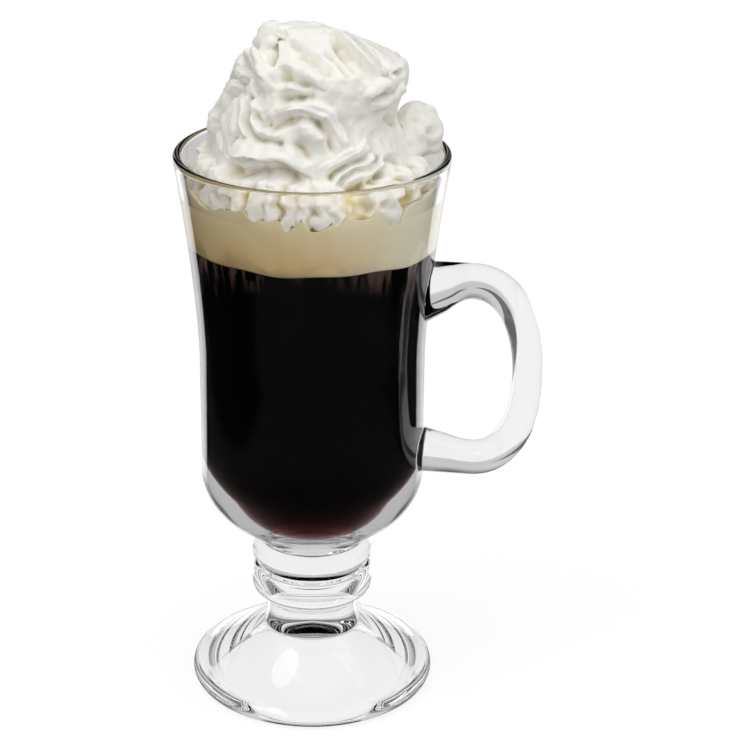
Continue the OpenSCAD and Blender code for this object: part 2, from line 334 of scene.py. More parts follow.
foot_r = foot_high.x
heel_w = 0.8 * mm
heel_h = 5 * mm
foot_h = foot_high.z - heel_h
edge_t = 5 * mm
kick_r = 27 * mm
kick_h = 17.5 * mm
kick_power = 1.6

neck_r = 12 * mm
neck_top_z = foot_h + 9.5 * mm
lower_ring_r = 16.75 * mm
lower_ring_z = neck_top_z + 3.5 * mm
groove_r = 14 * mm
groove_z = neck_top_z + 8.5 * mm
upper_ring_r = 16.8 * mm
upper_ring_z = groove_z + 4.3 * mm
bead_t = 1.5 * mm
seat_r = 15 * mm


def outer_r(z):
    """Radius of the bowl's outside: straight, then flared to the rim."""
    rise = np.clip((np.asarray(z) - flare_z) / (lip_z - flare_z), 0, None)
    return body_r + (rim_r - body_r) * rise ** flare_power


def inner_r(z, gap=0.0):
    """Radius of the bowl's inside above its rounded bottom."""
    wall = belly_wall + (rim_wall - belly_wall) * (np.asarray(z) - belly_z) / (mug_h - belly_z)
    return outer_r(z) - wall - gap


print("Bowl", round(2 * rim_r / mm, 1), "mm across,", round(mug_h / mm, 1), "mm high")

# %% The line that is turned
arc_points = 48
wall_points = 96
lip_points = 24
well_points = 64


def arc(centre_r, centre_z, radius_r, radius_z, start, end, count=arc_points):
    """Points of an oval arc, angles in degrees from outward over upward."""
    angle = np.radians(np.linspace(start, end, count))
    return np.column_stack([centre_r + radius_r * np.cos(angle), centre_z + radius_z * np.sin(angle)])


def glass_outside():
    """From the middle of the underside, round the foot and up the outside to the lip."""
    across = np.linspace(0, 1, arc_points)
    kick = np.column_stack([kick_r * across, kick_h * (1 - across ** kick_power)])
    edge_r = foot_r - edge_t / 2
    edge = arc(edge_r, edge_t / 2, edge_t / 2, edge_t / 2, -90, 90)
    heel = np.column_stack([neck_r + heel_w * (1 - across) ** 2, foot_h + heel_h * across])
    under = arc(neck_r, lower_ring_z, lower_ring_r - neck_r, lower_ring_z - neck_top_z, -90, 0)
    over = arc(groove_r, lower_ring_z, lower_ring_r - groove_r, groove_z - lower_ring_z, 0, 90)
    bead = arc(groove_r, upper_ring_z, upper_ring_r - groove_r, bead_t, -90, 0)
    upper = arc(seat_r, upper_ring_z, upper_ring_r - seat_r, seat_z - upper_ring_z, 0, 90)
    belly_drop = (belly_z - seat_z - collar_h) / sqrt(1 - (seat_r / body_r) ** 2)
    collar_angle = np.degrees(asin(seat_r / body_r))
    belly = arc(0, belly_z, body_r, belly_drop, collar_angle - 90, 0)
    wall_z = np.linspace(belly_z, lip_z, wall_points)[1:]
    wall = np.column_stack([outer_r(wall_z), wall_z])
    return np.vstack([kick, edge, heel, under, over[1:], bead, upper[1:], belly, wall])


def well_point(angle, gap):
    """Radius and height on the bowl's rounded bottom: angle 0 is its edge, pi / 2 its middle."""
    across = max(0, cos(angle)) ** (2 / well_power)
    down = sin(angle) ** (2 / well_power)
    return inner_r(well_z, gap) * across, well_z - (well_h - gap) * down


def glass_inside():
    """From the lip down the inside to the middle of the bowl's bottom."""
    lip = arc(rim_r - rim_wall / 2, lip_z, rim_wall / 2, rim_wall / 2, 0, 180, lip_points)[1:]
    wall_z = np.linspace(lip_z, well_z, wall_points)[1:]
    wall = np.column_stack([inner_r(wall_z), wall_z])
    well = np.array([well_point(angle, 0) for angle in np.linspace(0, pi / 2, well_points)[1:]])
    return np.vstack([lip, wall, well])


glass_line = np.vstack([glass_outside(), glass_inside()])
print("The glass is drawn with", len(glass_line), "points")

# %% Polish the line and space its points
polish = 0.5 * mm
polish_step = 0.05 * mm
longest_row = 1.2 * mm
row_turn = 0.28


def run_of(line):
    """Distance along a line at each of its points."""
    steps = np.linalg.norm(np.diff(line, axis=0), axis=1)
    return np.concatenate([[0], np.cumsum(steps)])


def along(line, places, run):
    """Points of a line at the given places of its run."""
    return np.column_stack([np.interp(places, run, column) for column in line.T])


def softened(line, reach, step):
    """The line with its sharp creases rounded over a small reach, as fire polishing leaves them."""
    run = run_of(line)
    fine = along(line, np.linspace(0, run[-1], round(run[-1] / step)), run)
    n = round(reach / step)
    padded = np.vstack([2 * fine[0] - fine[n:0:-1], fine, 2 * fine[-1] - fine[-2:-n - 2:-1]])
    kernel = np.hanning(2 * n + 3)[1:-1]
    kernel /= kernel.sum()
    return np.column_stack([np.convolve(column, kernel, "valid") for column in padded.T])


def graded(line, longest, turn):
    """Fewer points where the line is straight, more where it bends."""
    run = run_of(line)
    heading = np.unwrap(np.arctan2(*np.gradient(line, axis=0).T))
    bend = np.abs(np.gradient(heading, run))
    effort = 1 / longest + bend / turn
    total = np.concatenate([[0], np.cumsum((effort[1:] + effort[:-1]) / 2 * np.diff(run))])
    count = round(total[-1])
    return along(line, np.interp(np.linspace(0, total[-1], count + 1), total, run), run)


glass_line = softened(glass_line, polish, polish_step)
glass_line[[0, -1], 0] = 0
glass_rows = graded(glass_line, longest_row, row_turn)
glass_rows[[0, -1], 0] = 0
lip_row = int(np.argmax(glass_rows[:, 1]))
print("The turned line has", len(glass_rows), "points, and its lip is number", lip_row)

# %% [markdown]
# ## The handle
# The handle is a full ear with an oval section. Its arms swell where they flow into the bowl,
# because the hot glass was pressed in one mould. A plain tube pushed into the wall would leave a
# hard line there. Each of the tube's lines is led onto the wall by a small round instead, and ends
# at one vertex of the window's edge.

# %% Sizes of the handle
handle_low, handle_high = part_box("handle")
arm_t = 9 * mm
arm_w = 10.5 * mm
grip_t = 8 * mm
grip_w = 11 * mm
root_w = 13 * mm
top_root_t = 16 * mm
low_root_t = 11.5 * mm
arm_len = 12.5 * mm
weld_round = 0.5 * mm
arm_start = 35.5 * mm
arm_rings = 8

bend_r = body_r + arm_len
bend_w = handle_high.x - grip_t / 2 - bend_r
arm_top_z = handle_high.z - arm_t / 2
arm_low_z = handle_low.z + arm_t / 2
bend_mid_z = (arm_top_z + arm_low_z) / 2
bend_h = (arm_top_z - arm_low_z) / 2
bend_power = 0.91
bend_rings = 57
bend_look = 0.03

columns = 192
column_angle = 2 * pi * np.arange(columns) / columns


def wall_at(z):
    """Radius of the finished outside at a height on the bowl."""
    outside = glass_rows[:lip_row]
    bowl = outside[outside[:, 1] > seat_z]
    return np.interp(z, bowl[:, 1], bowl[:, 0])


def on_wall(y, z):
    """Point of the bowl's outside on the handle's side at a width and a height."""
    return np.column_stack([np.sqrt(wall_at(z) ** 2 - y ** 2), y, z])


def swell(x):
    """1 at the bowl, 0 where the bend begins."""
    return (1 + np.cos(pi * np.clip((x - body_r) / arm_len, 0, 1))) / 2


def arm_ring(x, turn, arm_z, outward, root_t):
    """Points of the arm's section at x: outward is 1 if the finger side is below, else -1."""
    height = arm_t + (root_t - arm_t) * swell(x)
    width = arm_w + (root_w - arm_w) * swell(x)
    middle = arm_z - outward * (height - arm_t) / 2
    x = np.broadcast_to(x, turn.shape)
    return np.column_stack([x, width / 2 * np.cos(turn), middle + outward * height / 2 * np.sin(turn)])


def bend_point(angle):
    """Middle of the grip at an angle of the bend, pi / 2 at the top and -pi / 2 at the bottom."""
    c = cos(angle)
    s = sin(angle)
    return np.array([bend_r + bend_w * np.sign(c) * abs(c) ** bend_power,
                     bend_mid_z + bend_h * np.sign(s) * abs(s) ** bend_power])


def bend_ring(angle, turn):
    """Points of the grip's section at an angle of the bend."""
    ahead = bend_point(max(-pi / 2, angle - bend_look)) - bend_point(min(pi / 2, angle + bend_look))
    ahead /= np.linalg.norm(ahead)
    out = np.array([-ahead[1], ahead[0]])
    height = grip_t + (arm_t - grip_t) * abs(sin(angle))
    width = grip_w + (arm_w - grip_w) * abs(sin(angle))
    middle = bend_point(angle)
    rise = height / 2 * np.sin(turn)
    return np.column_stack([middle[0] + out[0] * rise, width / 2 * np.cos(turn), middle[1] + out[1] * rise])


print("Handle reaches", round(handle_high.x / mm, 1), "mm from the axis")

# %% Windows in the wall
window_half = 12
window_rows = 22
meet_tries = 8
weld_shares = (0.2, 0.4, 0.6, 0.8)
weld_steps = 8


def window(middle_z, outward):
    """Grid places (row, column) round a window, started so that both windows match the tube."""
    heights = np.where(np.arange(len(glass_rows)) < lip_row, glass_rows[:, 1], 0)
    first = int(np.argmin(abs(heights - middle_z))) - window_rows // 2
    last = first + window_rows
    start, end, step = (first, last, 1) if outward > 0 else (last, first, -1)
    loop = [(start, j) for j in range(-window_half, window_half)]
    loop += [(i, window_half) for i in range(start, end, step)]
    loop += [(end, j) for j in range(window_half, -window_half, -1)]
    loop += [(i, -window_half) for i in range(end, start, -step)]
    return first, last, loop


def loop_turn(loop, outward):
    """Angle of each window vertex as seen from the window's middle."""
    z = np.array([glass_rows[i, 1] for i, j in loop])
    y = np.array([glass_rows[i, 0] * sin(j * 2 * pi / columns) for i, j in loop])
    rise = outward * (z - (z.max() + z.min()) / 2) / (z.max() - z.min())
    return np.unwrap(np.arctan2(rise, y / (y.max() - y.min())))


def weld(loop, turn, arm_z, outward, root_t):
    """Rings from the window's edge over the wall and the small round onto the arm."""
    x = np.full(len(turn), body_r)
    for _ in range(meet_tries):
        line = arm_ring(x, turn, arm_z, outward, root_t)
        x = on_wall(line[:, 1], line[:, 2])[:, 0]
    meet = arm_ring(x, turn, arm_z, outward, root_t)
    on_arm = arm_ring(x + weld_round, turn, arm_z, outward, root_t)
    side = np.column_stack([np.cos(turn) / root_w, outward * np.sin(turn) / root_t])
    side /= np.linalg.norm(side, axis=1)[:, None]
    foot_of_round = on_wall(meet[:, 1] + weld_round * side[:, 0], meet[:, 2] + weld_round * side[:, 1])
    rows = np.array([glass_rows[i] for i, j in loop])
    edge_angle = np.array([j * 2 * pi / columns for i, j in loop])
    foot_angle = np.arctan2(foot_of_round[:, 1], foot_of_round[:, 0])
    rings = []
    for share in weld_shares:
        angle = edge_angle + (foot_angle - edge_angle) * share
        z = rows[:, 1] + (foot_of_round[:, 2] - rows[:, 1]) * share
        r = wall_at(z)
        rings.append(np.column_stack([r * np.cos(angle), r * np.sin(angle), z]))
    for t in np.linspace(0, 1, weld_steps):
        rings.append((1 - t) ** 2 * foot_of_round + 2 * t * (1 - t) * meet + t ** 2 * on_arm)
    return rings


top_first, top_last, top_loop = window(arm_top_z - (top_root_t - arm_t) / 2, 1)
low_first, low_last, low_loop = window(arm_low_z + (low_root_t - arm_t) / 2, -1)
top_turn = loop_turn(top_loop, 1)
low_turn = loop_turn(low_loop, -1)
tube = weld(top_loop, top_turn, arm_top_z, 1, top_root_t)
arm_x = np.linspace(arm_start, bend_r, arm_rings)[:-1]
bend_angles = np.linspace(pi / 2, -pi / 2, bend_rings)
tube += [arm_ring(x, top_turn, arm_top_z, 1, top_root_t) for x in arm_x]
for n, angle in enumerate(bend_angles):
    share = n / (len(bend_angles) - 1)
    tube.append(bend_ring(angle, top_turn + (low_turn - top_turn) * share))
tube += [arm_ring(x, low_turn, arm_low_z, -1, low_root_t) for x in arm_x[::-1]]
tube += weld(low_loop, low_turn, arm_low_z, -1, low_root_t)[::-1]
print("The handle's tube has", len(tube), "rings of", len(top_turn), "points")

# %% Build the glass mesh
drink_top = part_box("cream_float")[1].z
wet_above = 1.5 * mm


def glass_mesh():
    """The turned rows with two windows, the tube between them, and the rows that the drink wets."""
    last_row = len(glass_rows) - 1
    points = [(0, 0, glass_rows[0, 1])]
    for r, z in glass_rows[1:-1]:
        points += [(r * cos(a), r * sin(a), z) for a in column_angle]
    points.append((0, 0, glass_rows[-1, 1]))
    end_point = len(points) - 1

    def place(row, column):
        if row == 0:
            return 0
        if row == last_row:
            return end_point
        return 1 + (row - 1) * columns + column % columns

    def open_here(row, column):
        centred = (column + window_half) % columns
        inside = centred < 2 * window_half
        return inside and (top_first <= row < top_last or low_first <= row < low_last)

    faces = []
    wetted = []
    for row in range(last_row):
        wet = row >= lip_row and max(glass_rows[row, 1], glass_rows[row + 1, 1]) <= drink_top + wet_above
        for column in range(columns):
            if open_here(row, column):
                continue
            corners = [place(row + i, column + j) for i, j in ((0, 0), (0, 1), (1, 1), (1, 0))]
            faces.append(list(dict.fromkeys(corners)))
            wetted.append(wet)
    rings = [[place(i, j) for i, j in top_loop]]
    for ring in tube:
        rings.append(list(range(len(points), len(points) + len(ring))))
        points += [tuple(p) for p in ring]
    rings.append([place(i, j) for i, j in low_loop])
    for ring, following in zip(rings, rings[1:]):
        for k in range(len(ring)):
            after = (k + 1) % len(ring)
            faces.append([ring[k], ring[after], following[after], following[k]])
            wetted.append(False)
    return points, faces, wetted


points, faces, wetted = glass_mesh()
print("The drink wets", sum(wetted), "of", len(faces), "faces")

# %% Helpers for pieces
def make_piece(name, points, faces, looks, look_of_face=None):
    """A smooth closed mesh object with its normals outward and no loose points."""
    mesh = bpy.data.meshes.new(name)
    mesh.from_pydata([tuple(p) for p in points], [], faces)
    if look_of_face is not None:
        mesh.polygons.foreach_set("material_index", np.array(look_of_face, dtype=np.int32))
    for look in looks:
        mesh.materials.append(look)
    work = bmesh.new()
    work.from_mesh(mesh)
    bmesh.ops.delete(work, geom=[v for v in work.verts if not v.link_faces], context="VERTS")
    bmesh.ops.recalc_face_normals(work, faces=work.faces)
    for face in work.faces:
        face.smooth = True
    open_edges = sum(1 for edge in work.edges if len(edge.link_faces) != 2)
    volume = round(work.calc_volume() / mm ** 3)
    print(name, "has", len(work.faces), "faces and", open_edges, "open edges,", volume, "mm3")
    work.to_mesh(mesh)
    work.free()
    piece = bpy.data.objects.new(name, mesh)
    scene.collection.objects.link(piece)
    return piece


def mark(piece, name, values):
    """Keeps one number for each vertex, for the material to read."""
    layer = piece.data.attributes.new(name, "FLOAT", "POINT")
    layer.data.foreach_set("value", np.asarray(values, dtype=np.float32))


# %% [markdown]
# ## Clear glass, dry and wet
# Glass in air bends light strongly. Where coffee wets the inside, the two have nearly the same
# optical density, and the inner wall all but disappears: that is why coffee seems to fill the
# whole thickness of the mug. One glass material can't say both, so the wetted faces have a second
# one, whose refractive index is that of glass divided by that of coffee. Pressed glass isn't quite
# flat either, and a slow wave in the normals gives its lines their small wobble. In the photograph
# the coffee's round bottom stands clear of the glass beside it. A belly of full strength would
# magnify the coffee to its edge, so each vertex keeps its own index. The belly's is weaker, and
# the glass there is made a little soft and painted a little grey, a painted shade.

# %% Helpers for materials
def cloudy(tree, place, scale, detail=2, distortion=0):
    """Soft noise, as a number for each place."""
    node = tree.nodes.new("ShaderNodeTexNoise")
    set_sockets(node, {"Scale": scale, "Detail": detail, "Distortion": distortion})
    tree.links.new(place, node.inputs["Vector"])
    return node.outputs[0]


def uneven(tree, body, hills, strength, height):
    """Tilts a shader's normals as small hills would."""
    bump = tree.nodes.new("ShaderNodeBump")
    set_sockets(bump, {"Strength": strength, "Distance": height})
    tree.links.new(hills, bump.inputs["Height"])
    tree.links.new(bump.outputs[0], body.inputs["Normal"])


def kept_number(tree, name):
    """The number that each vertex keeps under a name."""
    node = tree.nodes.new("ShaderNodeAttribute")
    node.attribute_name = name
    return node.outputs["Fac"]


def clear_body(tree, ior):
    """The main shader, made clear and smooth."""
    body = tree.nodes["Principled BSDF"]
    set_sockets(body, {"Base Color": white, "Roughness": 0, "IOR": ior, "Transmission Weight": 1})
    return body


# %% Glass materials
glass_ior = 1.5
belly_ior = 1.09
belly_painted_grey = 0.5
belly_blur = 0.1
coffee_ior = 1.33
wave_scale = 70
wave_detail = 1
wave_strength = 1
wave_h = 0.03 * mm


def pressed_glass(name, ior):
    """Clear glass with the slow waves that a mould leaves: the material, its tree and its shader."""
    look, tree = new_look(name)
    body = clear_body(tree, ior)
    place = tree.nodes.new("ShaderNodeTexCoord").outputs["Object"]
    uneven(tree, body, cloudy(tree, place, wave_scale, wave_detail), wave_strength, wave_h)
    return look, tree, body


dry_glass, tree, body = pressed_glass("clear_glass", glass_ior)
index = kept_number(tree, "glass_index")
tree.links.new(index, body.inputs["IOR"])
# painted shade: the belly's glass is painted grey where its index is weaker
tree.links.new(fade(tree, index, belly_ior, glass_ior, belly_painted_grey, 1), body.inputs["Base Color"])
tree.links.new(fade(tree, index, belly_ior, glass_ior, belly_blur, 0), body.inputs["Roughness"])
wet_glass = pressed_glass("clear_glass_wet_inside", glass_ior / coffee_ior)[0]
print("Wet glass has an index of", round(glass_ior / coffee_ior, 3))

# %% The glass piece
belly_fade = 12 * mm
wall_tolerance = 0.3 * mm

glass_mug = make_piece("glass_mug", points, faces, [dry_glass, wet_glass], wetted)
spots = np.array([vertex.co for vertex in glass_mug.data.vertices])
height = spots[:, 2]
off_wall = np.abs(np.hypot(spots[:, 0], spots[:, 1]) - wall_at(height))
on_bowl = (height > seat_z) & (off_wall < wall_tolerance)
bowl_index = np.interp(height, [belly_z, belly_z + belly_fade], [belly_ior, glass_ior])
mark(glass_mug, "glass_index", np.where(on_bowl, bowl_index, glass_ior))
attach(glass_mug, "root")
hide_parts("bowl", "ringed_stem", "foot", "handle")

# %% [markdown]
# ## The coffee
# Black coffee is clear and very dark: light is swallowed on its way through, red last of all. A
# dark paint on the surface would look like enamel. A volume that absorbs gives the black middle
# and the red-brown edge by itself. The coffee's own surface bends nothing, because the wetted glass
# has already done that.

# %% Coffee material
brew_tint = (0.52, 0.13, 0.18, 1)
brew_density = 400
same_ior = 1.0
wisp_tint = (0.2, 0.12, 0.1, 1)
streak_scale = (380, 380, 50)
streak_detail = 3
streak_swirl = 0.7
streak_low = 0.44
streak_high = 0.64

coffee_look, tree = new_look("black_coffee")
clear = clear_body(tree, same_ior)
brew = tree.nodes.new("ShaderNodeVolumeAbsorption")
set_sockets(brew, {"Color": brew_tint, "Density": brew_density})
coffee_out = tree.nodes["Material Output"]
tree.links.new(brew.outputs[0], coffee_out.inputs["Volume"])

place = tree.nodes.new("ShaderNodeTexCoord").outputs["Object"]
stretch = tree.nodes.new("ShaderNodeMapping")
stretch.inputs["Scale"].default_value = streak_scale
tree.links.new(place, stretch.inputs["Vector"])
streaks = cloudy(tree, stretch.outputs[0], 1, streak_detail, streak_swirl)
streaked = fade(tree, streaks, streak_low, streak_high)
strength = calc(tree, "MULTIPLY", kept_number(tree, "wisps"), streaked)
wisp = tree.nodes.new("ShaderNodeBsdfDiffuse")
wisp.inputs["Color"].default_value = wisp_tint
mixed = tree.nodes.new("ShaderNodeMixShader")
tree.links.new(strength, mixed.inputs["Fac"])
tree.links.new(clear.outputs[0], mixed.inputs[1])
tree.links.new(wisp.outputs[0], mixed.inputs[2])
tree.links.new(mixed.outputs[0], coffee_out.inputs["Surface"])
print("Coffee:", len(tree.nodes), "nodes")

# %% Rings of the drink
coffee_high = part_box("coffee")[1]
coffee_top = coffee_high.z
film = inner_r(coffee_top) - coffee_high.x
layer_gap = 0.05 * mm
meeting_h = 1.9 * mm
meeting_bulge = 0.4 * mm
meeting_slope = 0.35 * mm
meeting_ripples = [
    # height, waves round the glass, start
    (0.3 * mm, 5, 1),
    (0.2 * mm, 11, 0),
]
drink_columns = 192
drink_angle = 2 * pi * np.arange(drink_columns) / drink_columns


def meeting_z(angle, share):
    """Height of the line between coffee and cream: it stands higher in front and at the back."""
    from_view = angle - camera_turn
    rise = meeting_h - meeting_bulge * np.cos(2 * from_view) - meeting_slope * np.cos(from_view)
    for ripple_h, waves, start in meeting_ripples:
        rise = rise + ripple_h * np.sin(waves * from_view + start)
    return coffee_top + rise * share ** 2


def ring_points(radius, z):
    """One ring of the drink, radius and height given for each column."""
    radius = np.broadcast_to(radius, drink_angle.shape)
    z = np.broadcast_to(z, drink_angle.shape)
    return np.column_stack([radius * np.cos(drink_angle), radius * np.sin(drink_angle), z])


def closed_stack(rings):
    """Points and faces of rings stacked from a middle point below to a middle point above."""
    count = len(rings[0])
    points = [rings[0].mean(axis=0)] + [p for ring in rings for p in ring] + [rings[-1].mean(axis=0)]
    top = len(points) - 1
    faces = []
    for k in range(count):
        after = (k + 1) % count
        faces.append([0, 1 + after, 1 + k])
        for n in range(len(rings) - 1):
            low = 1 + n * count
            high = low + count
            faces.append([low + k, low + after, high + after, high + k])
        last = 1 + (len(rings) - 1) * count
        faces.append([last + k, last + after, top])
    return points, faces


print("The drink's film of clearance is", round(film / mm, 2), "mm")

# %% The coffee piece
bottom_rings = 33
side_rings = 49
disc_rings = 17
wisp_side = 15 * mm
wisp_front = 4 * mm
wisp_fade = 0.8
wisp_fade_power = 4

coffee_rings = []
for angle in np.linspace(pi / 2, 0, bottom_rings)[1:]:
    coffee_rings.append(ring_points(*well_point(angle, film)))
for share in np.linspace(0, 1, side_rings)[1:]:
    z = well_z + (meeting_z(drink_angle, 1) - layer_gap - well_z) * share
    coffee_rings.append(ring_points(inner_r(z, film), z))
for share in np.linspace(1, 0, disc_rings)[1:-1]:
    z = meeting_z(drink_angle, share) - layer_gap
    coffee_rings.append(ring_points(inner_r(z, film) * share, z))
points, faces = closed_stack(coffee_rings)
coffee = make_piece("coffee_fill", points, faces, [coffee_look])
points = np.array(points)
turned = np.arctan2(points[:, 1], points[:, 0])
front = np.clip(np.cos(turned - camera_turn + pi / 2), 0, 1)
wisp_reach = wisp_side + (wisp_front - wisp_side) * front ** 2
sunk = np.clip(1 - (meeting_z(turned, 1) - points[:, 2]) / wisp_reach, 0, 1)
mark(coffee, "wisps", sunk * (1 - wisp_fade * front ** wisp_fade_power))
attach(coffee, "root")
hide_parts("coffee")

# %% [markdown]
# ## The float of cream
# Cream poured over a spoon floats on the coffee and takes some of it up, so it is beige, darker
# where it meets the coffee and paler under the whipped cream. A plain disc would be too neat: its
# lower face follows the coffee's wavy top, and lumps of whipped cream press its upper edge down.

# %% Float material
float_cloud_scale = 80
float_cloud_detail = 5
float_cloud_swirl = 0.8
float_cloud_share = 1.1
float_tones = [
    # height in the float, colour
    (0.0, (0.6, 0.44, 0.2, 1)),
    (0.25, (0.88, 0.65, 0.31, 1)),
    (1.0, (0.99, 0.83, 0.52, 1)),
]
# painted light: the float is painted paler towards the camera's right, where more light falls on it
float_painted_light_tint = (1.0, 0.94, 0.74, 1)
float_painted_light_share = 0.95
painted_light_start = -5 * mm
painted_light_end = 30 * mm


def ramped(tree, value, tones):
    """A colour that follows a value through tones of (position, colour)."""
    node = tree.nodes.new("ShaderNodeValToRGB")
    tree.links.new(value, node.inputs[0])
    elements = node.color_ramp.elements
    for element, (position, colour) in zip(elements, (tones[0], tones[-1])):
        element.position = position
        element.color = colour
    for position, colour in tones[1:-1]:
        elements.new(position).color = colour
    return node.outputs[0]


def tinted(tree, share, colour, tint):
    """A colour that gives way to a tint by a share."""
    node = tree.nodes.new("ShaderNodeMix")
    node.data_type = "RGBA"
    tree.links.new(share, node.inputs["Factor"])
    tree.links.new(colour, node.inputs["A"])
    node.inputs["B"].default_value = tint
    return node.outputs["Result"]


float_look, tree = new_look("coffee_cream")
body = tree.nodes["Principled BSDF"]
place = tree.nodes.new("ShaderNodeTexCoord").outputs["Object"]
swirls = cloudy(tree, place, float_cloud_scale, float_cloud_detail, float_cloud_swirl)
drift = calc(tree, "MULTIPLY", calc(tree, "SUBTRACT", swirls, 0.5), float_cloud_share)
shade = calc(tree, "ADD", kept_number(tree, "height_in_float"), drift)
# painted light: paler towards the camera's right
sideways = measured_along(tree, place, in_view(1, 0, 0))
painted_light_right = fade(tree, sideways, painted_light_start, painted_light_end, 0, float_painted_light_share)
colour = tinted(tree, painted_light_right, ramped(tree, shade, float_tones), float_painted_light_tint)
tree.links.new(colour, body.inputs["Base Color"])
set_sockets(body, {
    "Roughness": 0.5,
    "Subsurface Weight": 0.3,
    "Subsurface Radius": (1, 0.7, 0.4),
    "Subsurface Scale": 1 * mm,
})
print("Float:", len(tree.nodes), "nodes")

# %% The float's upper edge
cream_lumps = [
    # angle seen from the camera, lowest height, half width in degrees
    (-150, 143, 4), (-139, 141.5, 7), (-128, 143, 3), (-118, 141, 3.5), (-110, 141.5, 3),
    (-101.5, 139, 2.6), (-96, 140.5, 3), (-86, 139.5, 4), (-79, 141, 3), (-60, 143, 2.5),
    (-51, 138.5, 5), (-34, 144, 4), (-14, 141, 6), (8, 139, 8), (31, 140.5, 6), (55, 138.5, 8),
    (82, 140, 6), (108, 139, 8), (133, 141, 6), (160, 139.5, 8), (-170, 140, 6),
]
cream_gaps = [(-123.5, 144, 3), (-106, 144, 1.5), (-70, 142, 4.5), (-41, 143, 2)]
press_wide = 1.5
press_power = 0.7
edge_wanders = [
    # degrees to either side, waves round the glass, start in degrees
    (2.5, 7, 0),
    (1.2, 19, 40),
]
crest_level = 145
crest_dip = 1.3
crest_waves = 3
crest_start = 60
float_middle_z = drink_top - 1 * mm
float_dish_power = 4


def lump_share(angle, lump_angle, half_width, power):
    """1 in the middle of a lump, 0 beside it, with angles in degrees."""
    away = (angle - lump_angle + 180) % 360 - 180
    return np.clip(1 - (away / half_width) ** 2, 0, None) ** power


def float_edge_z(angle, share):
    """Height of the float's upper face, which lumps of whipped cream press down along the glass."""
    straight = np.degrees(angle - camera_turn)
    from_view = straight
    for much, waves, start in edge_wanders:
        from_view = from_view + much * np.sin(np.radians(waves * straight + start))
    crest = crest_level - crest_dip * np.sin(np.radians(crest_waves * from_view + crest_start)) ** 2
    edge = crest.copy()
    for lump_angle, low, wide in cream_lumps + cream_gaps:
        pressed = lump_share(from_view, lump_angle, press_wide * wide, press_power)
        edge = np.minimum(edge, crest - np.maximum(crest - low, 0) * pressed)
    return float_middle_z + (edge * mm - float_middle_z) * share ** float_dish_power


print("Lumps on the float:", len(cream_lumps), "and gaps:", len(cream_gaps))

# %% The float piece
face_rings = 33

float_rings = []
height_marks = [0.0]
for share in np.linspace(0, 1, disc_rings)[1:-1]:
    z = meeting_z(drink_angle, share)
    float_rings.append(ring_points(inner_r(z, film) * share, z))
    height_marks += [0.0] * drink_columns
low_edge = meeting_z(drink_angle, 1)
for share in np.linspace(0, 1, face_rings):
    z = low_edge + (float_edge_z(drink_angle, 1) - low_edge) * share
    float_rings.append(ring_points(inner_r(z, film), z))
    height_marks += [share] * drink_columns
for share in np.linspace(1, 0, face_rings)[1:-1]:
    z = float_edge_z(drink_angle, share)
    float_rings.append(ring_points(inner_r(z, film) * share, z))
    height_marks += [1.0] * drink_columns
height_marks.append(1.0)
cream_float = make_piece("cream_float_layer", *closed_stack(float_rings), [float_look])
mark(cream_float, "height_in_float", height_marks)
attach(cream_float, "root")
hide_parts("cream_float")

# %% [markdown]
# ## Whipped cream
# Whipped cream leaves the nozzle in ridged bands that curl, fold over each other and sink together.
# Sculpting by hand isn't possible in a script, noise on a dome looks like plaster, and swept ropes
# look like noodles. So the heap starts as a smooth outline, and each stroke of the nozzle is pressed
# into it: a rib stands out, a crease cuts in, and a fold is a lip that fades on one side. The three
# layers of the model melt into one skin, as they do in the glass.

# %% The heap's outline
rim_level = mug_h / mm
outline_polish = 1.6
outline_step = 0.1
heap_rows = softened(np.array([
    # height above the rim, reach to the left and to the right, depth as a share of width, lean to the back
    (-13, 27, 28, 1, 0), (-9, 28.3, 29, 1, 0), (-4, 27, 28, 1, 0), (0, 25.4, 25.5, 0.99, 0),
    (5, 24.8, 23.5, 0.98, 0), (9, 24.3, 21.5, 0.96, 0), (13, 22, 21.5, 0.93, -0.3),
    (17, 19.6, 23, 0.91, -0.6), (20, 18.3, 23.8, 0.88, -0.9), (23.5, 16.6, 23.2, 0.85, -1.2),
    (26, 13, 18.2, 0.81, -1.4), (29, 11, 11.5, 0.79, -1.6), (31.2, 10.5, 6, 0.77, -1.8),
    (32.6, 8.5, 2, 0.75, -2),
], float), outline_polish, outline_step)


def heap_at(angle, height):
    """Points of the outline: angle in degrees, 0 right, -90 front, and height above the rim."""
    left, right, depth, lean = (np.interp(height, heap_rows[:, 0], column) for column in heap_rows.T[1:])
    half = (left + right) / 2
    turn = np.radians(angle)
    sideways = (right - left) / 2 + half * np.cos(turn)
    return np.stack([sideways, lean + half * depth * np.sin(turn), rim_level + height], axis=-1)


print("Heap", heap_rows[-1, 0], "mm above the rim")

# %% Shapes of a stroke
crease_depth = 1.35
crease_power = 1.4
lip_power = 1.2
undercut = 0.6
undercut_w = 0.3
flute_depth = 0.16
flutes = 3.5


def rib(x):
    """A round ridge."""
    return np.sqrt(np.clip(1 - x ** 2, 0, None))


def crease(x):
    """A pointed groove."""
    return -crease_depth * np.clip(1 - np.abs(x), 0, None) ** crease_power


def fold(x):
    """A lip that fades to the left and drops at once to the right."""
    lip = np.clip(1 - x, 0, None) ** lip_power
    return np.where(x > 0, lip, -undercut * np.exp(-(x / undercut_w) ** 2))


def dent(x):
    """A round hollow."""
    return -np.clip(1 - x ** 2, 0, None)


def fluted(x):
    """A round ridge with the small flutes of a star nozzle."""
    return rib(x) * (1 - flute_depth + flute_depth * np.cos(flutes * pi * x))


print("A crease is cut", crease_depth, "times as deep as its height says")

# %% Strokes
back_first = 30
back_last = 176
back_step = 22

